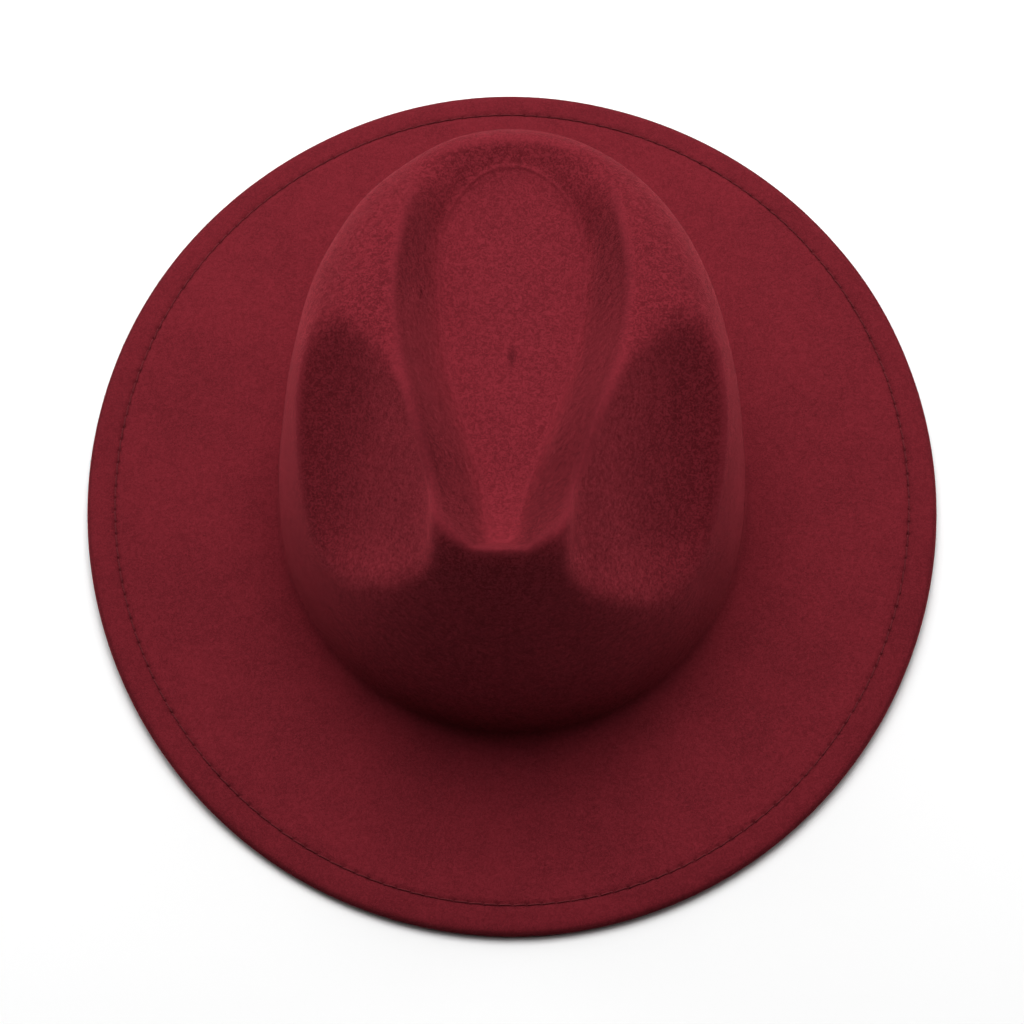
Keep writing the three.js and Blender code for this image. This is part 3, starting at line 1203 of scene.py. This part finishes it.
@dataclass
class Nap:
    """Loose wool fibres that lie on the felt and stand a little off it.

    None has its root below the lowest height, so that none reaches the surface on which the
    hat rests. The lift shape is that of the chances of how far a fibre stands up.
    """

    name: str
    region: Region
    count: int
    seed: int
    length: tuple[float, float] = (0.7, 2.0)
    thickness: tuple[float, float] = (0.035, 0.07)
    standing: float = 0.45
    lift_shape: tuple[float, float] = (1.2, 5.0)
    middle_lift: float = 0.6
    curl: float = 0.16
    lowest: float = 2.5

    def roots(
        self, felt: bpy.types.Object, regions: Array, draw: np.random.Generator
    ) -> tuple[Array, Array]:
        """Picks places on the felt, evenly by area.

        Args:
            felt: The felt's object.
            regions: The stretch of felt that each of its vertices belongs to.
            draw: The source of chance.

        Returns:
            The places and the ways square out of the felt, in millimetres.
        """
        mesh = felt.data
        mesh.calc_loop_triangles()
        corners = np.zeros(3 * len(mesh.loop_triangles), int)
        mesh.loop_triangles.foreach_get("vertices", corners)
        corners = corners.reshape(-1, 3)
        corners = corners[(regions[corners] == self.region.value).all(1)]
        flat = np.zeros(3 * len(mesh.vertices))
        mesh.vertices.foreach_get("co", flat)
        spots = flat.reshape(-1, 3)[corners] / MM
        spots = spots[spots[..., 2].min(1) > self.lowest]
        square = np.cross(spots[:, 1] - spots[:, 0], spots[:, 2] - spots[:, 0])
        area = np.linalg.norm(square, axis=1)
        pick = draw.choice(len(spots), self.count, p=area / area.sum())
        shares = draw.dirichlet((1, 1, 1), self.count)
        return (spots[pick] * shares[..., None]).sum(1), unit(square[pick])

    def build(
        self, felt: bpy.types.Object, regions: Array, material: bpy.types.Material
    ) -> bpy.types.Object:
        """Makes the fibres, each a thin bent spindle, as one joined mesh.

        Args:
            felt: The felt's object.
            regions: The stretch of felt that each of its vertices belongs to.
            material: The fibres' finish.

        Returns:
            The nap.
        """
        draw = np.random.default_rng(self.seed)
        root, out = self.roots(felt, regions, draw)
        along = unit(np.cross(out, unit(draw.normal(size=(self.count, 3)))))
        across = np.cross(out, along)
        length = draw.uniform(*self.length, (self.count, 1))
        half = draw.uniform(*self.thickness, (self.count, 1)) / 2
        rise = length * draw.beta(*self.lift_shape, (self.count, 1)) * self.standing
        bend = length * draw.normal(0, self.curl, (self.count, 1))
        start = root - along * length / 2 - out * half
        middle = root + across * bend + out * (half + rise * self.middle_lift)
        end = root + along * length / 2 + out * rise
        spokes = [
            middle + half * (math.cos(a) * out + math.sin(a) * across)
            for a in (math.pi / 2, math.pi * 7 / 6, math.pi * 11 / 6)
        ]
        corners = [start, *spokes, end]
        points = np.stack(corners, axis=1).reshape(-1, 3)
        pattern = np.array([(0, 2, 1), (0, 3, 2), (0, 1, 3), (4, 1, 2), (4, 2, 3), (4, 3, 1)])
        faces = (np.arange(self.count)[:, None, None] * len(corners) + pattern).reshape(-1, 3)
        return make_object(self.name, points, faces.tolist(), material)


NAPS = (
    Nap("crown_nap", Region.CROWN, count=24000, seed=CROWN_NAP_SEED),
    Nap("brim_nap", Region.BRIM, count=24000, seed=BRIM_NAP_SEED),
    Nap("hem_nap", Region.HEM, count=5000, seed=HEM_NAP_SEED),
)


# ---- Finishes ----


class Sheet:
    """Lays nodes in one node tree and links them."""

    def __init__(self, tree: bpy.types.NodeTree) -> None:
        """Takes the tree to lay nodes in."""
        self.tree = tree

    def add(self, kind: str, **settings: object) -> bpy.types.Node:
        """Adds a node.

        Args:
            kind: The node's type, without its ShaderNode.
            settings: The node's own properties.

        Returns:
            The new node.
        """
        node = self.tree.nodes.new("ShaderNode" + kind)
        for name, value in settings.items():
            setattr(node, name, value)
        return node

    def join(self, source: object, socket: bpy.types.NodeSocket) -> None:
        """Links a socket to another, or sets it to a plain value.

        Args:
            source: An output socket, a number or a colour.
            socket: The input socket.
        """
        if isinstance(source, bpy.types.NodeSocket):
            self.tree.links.new(source, socket)
        else:
            socket.default_value = source

    def fill(self, node: bpy.types.Node, **values: object) -> bpy.types.Node:
        """Sets or links a node's inputs.

        Args:
            node: The node.
            values: Its inputs, with spaces in their names as underscores.

        Returns:
            The same node.
        """
        for name, value in values.items():
            self.join(value, node.inputs[name.replace("_", " ")])
        return node

    def math(self, operation: str, a: object, b: object = 0.0) -> bpy.types.NodeSocket:
        """Adds a Math node.

        Args:
            operation: Its operation.
            a: Its first value or socket.
            b: Its second value or socket.

        Returns:
            The result.
        """
        node = self.add("Math", operation=operation)
        self.join(a, node.inputs[0])
        self.join(b, node.inputs[1])
        return node.outputs[0]

    def rescale(
        self, value: object, low: float, high: float, to_low: float = 0.0, to_high: float = 1.0
    ) -> bpy.types.NodeSocket:
        """Maps a range of values onto another, softly and without passing its ends.

        Args:
            value: The value to map.
            low: The value that maps to to_low.
            high: The value that maps to to_high.
            to_low: What the low end becomes.
            to_high: What the high end becomes.

        Returns:
            The mapped value.
        """
        node = self.add("MapRange", interpolation_type="SMOOTHSTEP")
        for socket, number in zip(node.inputs[1:5], (low, high, to_low, to_high)):
            socket.default_value = number
        self.join(value, node.inputs[0])
        return node.outputs[0]

    def blend(self, share: object, a: object, b: object) -> bpy.types.NodeSocket:
        """Mixes two colours.

        Args:
            share: How much of the second to take.
            a: The first colour or socket.
            b: The second colour or socket.

        Returns:
            The mixed colour.
        """
        node = self.add("Mix", data_type="RGBA", blend_type="MIX")
        self.join(share, node.inputs["Factor"])
        self.join(a, [s for s in node.inputs if s.name == "A" and s.type == "RGBA"][0])
        self.join(b, [s for s in node.inputs if s.name == "B" and s.type == "RGBA"][0])
        return [s for s in node.outputs if s.type == "RGBA"][0]

    def vector(self, operation: str, *values: object) -> bpy.types.NodeSocket:
        """Adds a Vector Math node.

        Args:
            operation: Its operation.
            values: Its vectors or sockets, in order.

        Returns:
            The resulting vector.
        """
        node = self.add("VectorMath", operation=operation)
        for value, socket in zip(values, node.inputs):
            self.join(value, socket)
        return node.outputs[0]

    def bump(self, height: object, strength: float, distance: float) -> bpy.types.NodeSocket:
        """Adds a Bump node.

        Args:
            height: The height's socket.
            strength: How much of it to show.
            distance: What a height of 1 stands for, in millimetres.

        Returns:
            The normal.
        """
        node = self.add("Bump")
        self.fill(node, Strength=strength, Distance=distance * MM, Height=height)
        return node.outputs[0]

    def read(self, name: str) -> bpy.types.NodeSocket:
        """Reads a value stored on the mesh."""
        return self.add("Attribute", attribute_type="GEOMETRY", attribute_name=name).outputs["Fac"]


def new_group(
    name: str, inputs: list[tuple[str, str, object]], outputs: list[str]
) -> tuple[bpy.types.ShaderNodeTree, Sheet, bpy.types.Node, bpy.types.Node]:
    """Starts a shader node group with named inputs and outputs.

    Args:
        name: The group's name.
        inputs: Name, socket type and first value of each input.
        outputs: Name of each output, all of them numbers.

    Returns:
        The group's tree, its sheet, and its input and output nodes.
    """
    tree = bpy.data.node_groups.new(name, "ShaderNodeTree")
    for socket_name, kind, value in inputs:
        socket = tree.interface.new_socket(socket_name, in_out="INPUT", socket_type=kind)
        if value is not None:
            socket.default_value = value
    for socket_name in outputs:
        tree.interface.new_socket(socket_name, in_out="OUTPUT", socket_type="NodeSocketFloat")
    sheet = Sheet(tree)
    return tree, sheet, tree.nodes.new("NodeGroupInput"), tree.nodes.new("NodeGroupOutput")


@dataclass(frozen=True)
class WoolScale:
    """How long and wide the fibres of a wool look and how broad its mottling is, in millimetres."""

    fibre_length: float
    fibre_width: float
    mottle_size: float


@dataclass(frozen=True)
class Noise:
    """One kind of noise: its detail, its roughness and how far it is distorted."""

    detail: float
    roughness: float = 0.5
    distortion: float = 0.0

    def build(self, sheet: Sheet, place: object, scale: object) -> bpy.types.Node:
        """Adds the Noise Texture node.

        Args:
            sheet: The sheet to add it to.
            place: The socket of the place at which it is read.
            scale: Its scale, a number or a socket.

        Returns:
            The node.
        """
        node = sheet.add("TexNoise", noise_dimensions="3D")
        looks = {"Detail": self.detail, "Roughness": self.roughness, "Distortion": self.distortion}
        return sheet.fill(node, Vector=place, Scale=scale, **looks)


@dataclass(frozen=True)
class MattedWool:
    """The shader group for wool pressed into felt: fibres lying every way, and mottling.

    Strands are the thin lines where a stretched noise passes its middle value. They are
    laid in several directions, spread evenly over half a turn. About X, Y and Z each is
    turned by its own angle times the turn rates, on top of the first turns in radians.
    The clump and mottle ranges are the noise values from which and up to which they show.
    """

    name: str = "Matted wool"
    default: WoolScale = WoolScale(2.0, 0.4, 14.0)
    directions: int = 3
    turn_rates: tuple[float, float, float] = (0.7, 1.3, 1.0)
    first_turns: tuple[float, float, float] = (0.4, 0.9, 0.3)
    bends: Noise = Noise(1.0)
    bend_scale: float = 0.35
    bend_reach: float = 2.4
    strands: Noise = Noise(2.0, 0.6)
    strand_middle: float = 0.5
    strand_band: float = 0.05
    clumps: Noise = Noise(2.5, 0.65, 1.6)
    clump_share: float = 1.5
    clump_range: tuple[float, float] = (0.36, 0.64)
    mottling: Noise = Noise(4.0, 0.62)
    mottle_range: tuple[float, float] = (0.3, 0.7)
    mottle_height: float = 0.6

    def fibres(self, sheet: Sheet, given: bpy.types.Node) -> bpy.types.NodeSocket:
        """Lays the strands of every direction over each other.

        Args:
            sheet: The group's sheet.
            given: The group's input node.

        Returns:
            1 along a strand, falling to 0 beside it.
        """
        place = given.outputs["Place"]
        long_scale = sheet.math("DIVIDE", 1.0, given.outputs["Fibre Length"])
        short_scale = sheet.math("DIVIDE", 1.0, given.outputs["Fibre Width"])
        scales = sheet.fill(sheet.add("CombineXYZ"), X=long_scale, Y=short_scale, Z=short_scale)
        bent = self.bends.build(sheet, place, self.bend_scale)
        reach = (self.bend_reach,) * 3
        swayed = sheet.vector("MULTIPLY_ADD", bent.outputs["Color"], reach, place)
        fibres: object = 0.0
        for i in range(self.directions):
            angle = math.pi * i / self.directions
            turns = tuple(r * angle + t for r, t in zip(self.turn_rates, self.first_turns))
            turned = sheet.add("VectorRotate", rotation_type="EULER_XYZ")
            sheet.fill(turned, Rotation=turns, Vector=swayed)
            stretched = sheet.vector("MULTIPLY", turned.outputs[0], scales.outputs[0])
            noise = self.strands.build(sheet, stretched, 1.0).outputs["Fac"]
            off = sheet.math("ABSOLUTE", sheet.math("SUBTRACT", noise, self.strand_middle))
            strand = sheet.rescale(off, 0.0, self.strand_band, 1.0, 0.0)
            fibres = sheet.math("MAXIMUM", fibres, strand)
        return fibres

    def build(self) -> bpy.types.ShaderNodeTree:
        """Makes the group.

        Returns:
            A group that takes a place in millimetres, a fibre length and width and a
            mottle size, and puts out the fibres, the flecks, the mottling and a height.
        """
        number = "NodeSocketFloat"
        tree, sheet, given, result = new_group(
            self.name,
            [
                ("Place", "NodeSocketVector", None),
                ("Fibre Length", number, self.default.fibre_length),
                ("Fibre Width", number, self.default.fibre_width),
                ("Mottle Size", number, self.default.mottle_size),
            ],
            ["Fibres", "Flecks", "Mottle", "Height"],
        )
        place = given.outputs["Place"]
        fibres = self.fibres(sheet, given)
        clump_scale = sheet.math("DIVIDE", self.clump_share, given.outputs["Fibre Length"])
        clumps = self.clumps.build(sheet, place, clump_scale)
        flecks = sheet.rescale(clumps.outputs["Fac"], *self.clump_range)
        slow_scale = sheet.math("DIVIDE", 1.0, given.outputs["Mottle Size"])
        slow = self.mottling.build(sheet, place, slow_scale)
        mottle = sheet.rescale(slow.outputs["Fac"], *self.mottle_range)
        height = sheet.math("ADD", fibres, sheet.math("MULTIPLY", mottle, self.mottle_height))
        sheet.fill(result, Fibres=fibres, Flecks=flecks, Mottle=mottle, Height=height)
        return tree


def placed_group(sheet: Sheet, tree: bpy.types.ShaderNodeTree, scale: WoolScale) -> bpy.types.Node:
    """Places the wool group in a material, reading places from the mesh in millimetres.

    Args:
        sheet: The material's sheet.
        tree: The group.
        scale: The scale at which it is seen.

    Returns:
        The group's node.
    """
    millimetres = sheet.add("VectorMath", operation="SCALE")
    sheet.join(sheet.add("TexCoord").outputs["Object"], millimetres.inputs[0])
    sheet.fill(millimetres, Scale=1 / MM)
    return sheet.fill(
        sheet.add("Group", node_tree=tree),
        Place=millimetres.outputs[0],
        Fibre_Length=scale.fibre_length,
        Fibre_Width=scale.fibre_width,
        Mottle_Size=scale.mottle_size,
    )


def new_material(name: str) -> tuple[bpy.types.Material, Sheet, bpy.types.Node]:
    """Starts a material.

    Args:
        name: The material's name.

    Returns:
        The material, its sheet and its Principled BSDF.
    """
    material = bpy.data.materials.new(name)
    material.use_nodes = True
    return material, Sheet(material.node_tree), material.node_tree.nodes["Principled BSDF"]


@dataclass(frozen=True)
class FeltFinish:
    """Burgundy wool felt, matt with a soft pale bloom where it is seen edge on.

    The crest, bead and floor highlights are painted highlight towards the pale fibre colour, on the
    ridges, the bead and the tear's floor.
    The edge, seam, prick and groove shades are painted shade at the rim's turned edge, in the stitch
    channel, in the needle holes and on the groove walls; the hem shade darkens the band outside the
    stitching.
    """

    fine: WoolScale = WoolScale(2.2, 0.42, 13.0)
    broad: WoolScale = WoolScale(5.5, 1.1, 46.0)
    mottle_range: tuple[float, float] = (0.2, 1.8)
    face: Colour = (0.150, 0.0110, 0.0172, 1)
    deep: Colour = (0.116, 0.0084, 0.0132, 1)
    # pale colour of the strands and flecks, also used for the painted highlights
    fibre: Colour = (0.262, 0.0240, 0.0365, 1)
    gap: Colour = (0.060, 0.0040, 0.0062, 1)
    bloom: Colour = (1.0, 0.11, 0.15, 1)
    shadow: Colour = (0, 0, 0, 1)
    roughness: float = 0.92
    specular: float = 0.06
    bloom_weight: float = 0.62
    bloom_roughness: float = 0.2
    nap_depth: float = 0.1
    nap_strength: float = 0.55
    strand_tint: float = 0.45
    fleck_brim: float = 0.2
    fleck_crown: float = 0.45
    hem_shade: float = 0.08
    # painted shade: at the rim's turned edge, in the stitch channel, in the needle holes and on the
    # groove walls
    edge_shade: float = 0.4
    seam_shade: float = 0.1
    prick_shade: float = 0.45
    groove_shade: float = 0.4
    # painted highlight: on the crests, along the bead and over the tear's floor
    crest_highlight: float = 0.45
    bead_highlight: float = 0.2
    floor_highlight: float = 0.16

    def build(self, wool: bpy.types.ShaderNodeTree) -> bpy.types.Material:
        """Makes the material.

        Args:
            wool: The matted wool group.

        Returns:
            The finish of the whole felt.
        """
        material, sheet, shader = new_material("burgundy_felt")
        fine = placed_group(sheet, wool, self.fine)
        broad = placed_group(sheet, wool, self.broad)
        mottle = sheet.math("ADD", fine.outputs["Mottle"], broad.outputs["Mottle"])
        colour = sheet.blend(sheet.rescale(mottle, *self.mottle_range), self.deep, self.face)
        strands = sheet.math("MULTIPLY", fine.outputs["Fibres"], self.strand_tint)
        colour = sheet.blend(strands, colour, self.fibre)
        raised = sheet.rescale(sheet.read("crown"), 0.0, 1.0, self.fleck_brim, self.fleck_crown)
        flecks = fine.outputs["Flecks"]
        pale = sheet.math("MULTIPLY", flecks, raised)
        dark = sheet.math("MULTIPLY", sheet.math("SUBTRACT", 1.0, flecks), raised)
        colour = sheet.blend(pale, colour, self.fibre)
        colour = sheet.blend(dark, colour, self.gap)
        # crest, bead and pressed marks paint highlight towards the pale fibre colour; edge, seam, prick
        # and groove marks paint shade; the hem mark darkens the hem band
        marks = (
            ("crest", self.crest_highlight, self.fibre),
            ("bead", self.bead_highlight, self.fibre),
            ("pressed", self.floor_highlight, self.fibre),
            ("hem", self.hem_shade, self.shadow),
            ("edge", self.edge_shade, self.shadow),
            ("seam", self.seam_shade, self.shadow),
            ("prick", self.prick_shade, self.shadow),
            ("groove", self.groove_shade, self.shadow),
        )
        for name, strength, towards in marks:
            share = sheet.math("MULTIPLY", sheet.read(name), strength)
            colour = sheet.blend(share, colour, towards)
        heights = sheet.math("ADD", fine.outputs["Height"], broad.outputs["Height"])
        sheet.fill(
            shader,
            Base_Color=colour,
            Roughness=self.roughness,
            Specular_IOR_Level=self.specular,
            Sheen_Weight=self.bloom_weight,
            Sheen_Roughness=self.bloom_roughness,
            Sheen_Tint=self.bloom,
            Normal=sheet.bump(heights, self.nap_strength, self.nap_depth),
        )
        return material


@dataclass(frozen=True)
class ThreadFinish:
    """Spun sewing thread, dyed a little lighter than the felt."""

    fuzz: WoolScale = WoolScale(0.7, 0.08, 9.0)
    mottle_share: float = 0.5
    fuzz_range: tuple[float, float] = (0.0, 1.5)
    face: Colour = (0.165, 0.015, 0.022, 1)
    deep: Colour = (0.095, 0.008, 0.012, 1)
    bloom: Colour = (1.0, 0.3, 0.35, 1)
    roughness: float = 0.75
    specular: float = 0.15
    bloom_weight: float = 0.1
    fuzz_depth: float = 0.03
    fuzz_strength: float = 0.4

    def build(self, wool: bpy.types.ShaderNodeTree) -> bpy.types.Material:
        """Makes the material.

        Args:
            wool: The matted wool group.

        Returns:
            The thread's finish.
        """
        material, sheet, shader = new_material("hem_thread")
        fuzz = placed_group(sheet, wool, self.fuzz)
        mottle = sheet.math("MULTIPLY", fuzz.outputs["Mottle"], self.mottle_share)
        share = sheet.rescale(sheet.math("ADD", fuzz.outputs["Fibres"], mottle), *self.fuzz_range)
        sheet.fill(
            shader,
            Base_Color=sheet.blend(share, self.deep, self.face),
            Roughness=self.roughness,
            Specular_IOR_Level=self.specular,
            Sheen_Weight=self.bloom_weight,
            Sheen_Tint=self.bloom,
            Normal=sheet.bump(fuzz.outputs["Height"], self.fuzz_strength, self.fuzz_depth),
        )
        return material


@dataclass(frozen=True)
class FibreFinish:
    """Loose fibres of the same wool, paler where they catch the light."""

    face: Colour = (0.20, 0.020, 0.030, 1)
    roughness: float = 0.8
    specular: float = 0.15

    def build(self) -> bpy.types.Material:
        """Makes the material, plain since each fibre is thinner than any pattern.

        Returns:
            The fibres' finish.
        """
        material, sheet, shader = new_material("loose_fibres")
        looks = {"Roughness": self.roughness, "Specular_IOR_Level": self.specular}
        sheet.fill(shader, Base_Color=self.face, **looks)
        return material


@dataclass(frozen=True)
class TableFinish:
    """Pale matt paint, with a grain that is only just there."""

    darker: Colour = (0.895, 0.895, 0.895, 1)
    paler: Colour = (0.905, 0.905, 0.905, 1)
    grain_scale: float = 3.0
    roughness: float = 0.7
    specular: float = 0.1

    def build(self) -> bpy.types.Material:
        """Makes the material.

        Returns:
            The table's finish.
        """
        material, sheet, shader = new_material("pale_table")
        grain = sheet.fill(sheet.add("TexNoise"), Scale=self.grain_scale)
        colour = sheet.blend(grain.outputs["Fac"], self.darker, self.paler)
        looks = {"Roughness": self.roughness, "Specular_IOR_Level": self.specular}
        sheet.fill(shader, Base_Color=colour, **looks)
        return material


# ---- The studio ----


@dataclass(frozen=True)
class SoftBox:
    """A rectangular soft light: where it hangs and its size in metres, and its power in watts."""

    name: str
    place: tuple[float, float, float]
    size: tuple[float, float]
    power: float


SOFT_BOXES = (
    SoftBox("overhead_back", (0, 0.65, 1.35), (1.0, 1.0), 20.5),
    SoftBox("overhead", (0, 0, 1.5), (1.0, 1.0), 3.0),
    SoftBox("back", (0, 1.2, 0.9), (1.0, 1.0), 2.5),
    SoftBox("back_left", (-0.9, 0.8, 0.9), (1.0, 1.0), 7.4),
    SoftBox("back_right", (0.9, 0.8, 0.9), (1.0, 1.0), 5.2),
    SoftBox("side_left", (-1.1, 0.1, 1.0), (1.0, 1.0), 1.8),
    SoftBox("side_right", (1.1, 0.1, 1.0), (1.0, 1.0), 2.4),
)


@dataclass
class Studio:
    """A pale table, broad soft light, mostly from above and behind, and the camera.

    The table's size is in millimetres; the camera's and the lights' places are in metres.
    """

    target: tuple[float, float, float] = (0.0, -0.0126, 0.0)
    elevation: float = 62.2
    distance: float = 0.9
    lens: float = 85.46
    sensor: float = 36.0
    table_half: float = 1000.0
    aim: tuple[float, float, float] = (0.0, 0.0, 0.05)

    def add_floor(self) -> None:
        """Lays the pale table top."""
        half = self.table_half
        corners = np.array([[-half, -half, 0], [half, -half, 0], [half, half, 0], [-half, half, 0]])
        make_object("table", corners, [(0, 1, 2, 3)], TableFinish().build())

    def add_light(self, box: SoftBox) -> None:
        """Hangs one soft box, facing the hat.

        Args:
            box: The soft box.
        """
        lamp = bpy.data.lights.new(box.name, "AREA")
        lamp.shape = "RECTANGLE"
        lamp.size, lamp.size_y = box.size
        lamp.energy = box.power
        made = bpy.data.objects.new(box.name, lamp)
        bpy.context.scene.collection.objects.link(made)
        made.location = box.place
        away = Vector(box.place) - Vector(self.aim)
        made.rotation_euler = away.to_track_quat("Z", "Y").to_euler()

    def add_lights(self) -> None:
        """Hangs the soft boxes, broad and mostly above and behind the hat."""
        for box in SOFT_BOXES:
            self.add_light(box)

    def add_backdrop(self) -> None:
        """Sets a white backdrop round the table, which is seen but gives no light."""
        world = bpy.data.worlds.new("studio_backdrop")
        world.use_nodes = True
        sheet = Sheet(world.node_tree)
        white = world.node_tree.nodes["Background"]
        white.inputs["Color"].default_value = (1, 1, 1, 1)
        sheet.join(sheet.add("LightPath").outputs["Is Camera Ray"], white.inputs["Strength"])
        bpy.context.scene.world = world

    def add_camera(self) -> None:
        """Sets the camera high in front of the hat."""
        lens = bpy.data.cameras.new("camera")
        lens.lens = self.lens
        lens.sensor_width = self.sensor
        camera = bpy.data.objects.new("camera", lens)
        bpy.context.scene.collection.objects.link(camera)
        rise = math.radians(self.elevation)
        back = Vector((0, -math.cos(rise), math.sin(rise)))
        camera.location = Vector(self.target) + back * self.distance
        camera.rotation_euler = back.to_track_quat("Z", "Y").to_euler()
        bpy.context.scene.camera = camera

    def build(self) -> None:
        """Sets up the whole studio."""
        self.add_floor()
        self.add_lights()
        self.add_backdrop()
        self.add_camera()
        bpy.context.scene.view_settings.view_transform = "Standard"


def main() -> None:
    """Builds the fedora, dresses it and sets it in the studio."""
    logging.basicConfig(level=logging.INFO, format="%(name)s: %(message)s")
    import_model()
    low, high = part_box(FELT_NODE)
    half_width, half_length = ((high[i] - low[i]) / 2 / MM for i in (0, 1))
    wool = MattedWool().build()

    felt = FeltBody(Crown(), Brim(half_width, half_length))
    shell = felt.build(FeltFinish().build(wool))
    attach(shell, BODY)
    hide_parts(FELT_NODE)
    LOG.info("felt shell: %d faces", len(shell.data.polygons))

    stitching = HemStitching(felt).build(ThreadFinish().build(wool))
    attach(stitching, BODY)
    LOG.info("hem stitching: %d stitches", felt.brim.stitches)

    regions = felt.vertex_regions()
    fibre_finish = FibreFinish().build()
    for nap in NAPS:
        fibres = nap.build(shell, regions, fibre_finish)
        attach(fibres, BODY)
        LOG.info("%s: %d fibres", nap.name, nap.count)

    Studio().build()


if __name__ == "__main__":
    main()
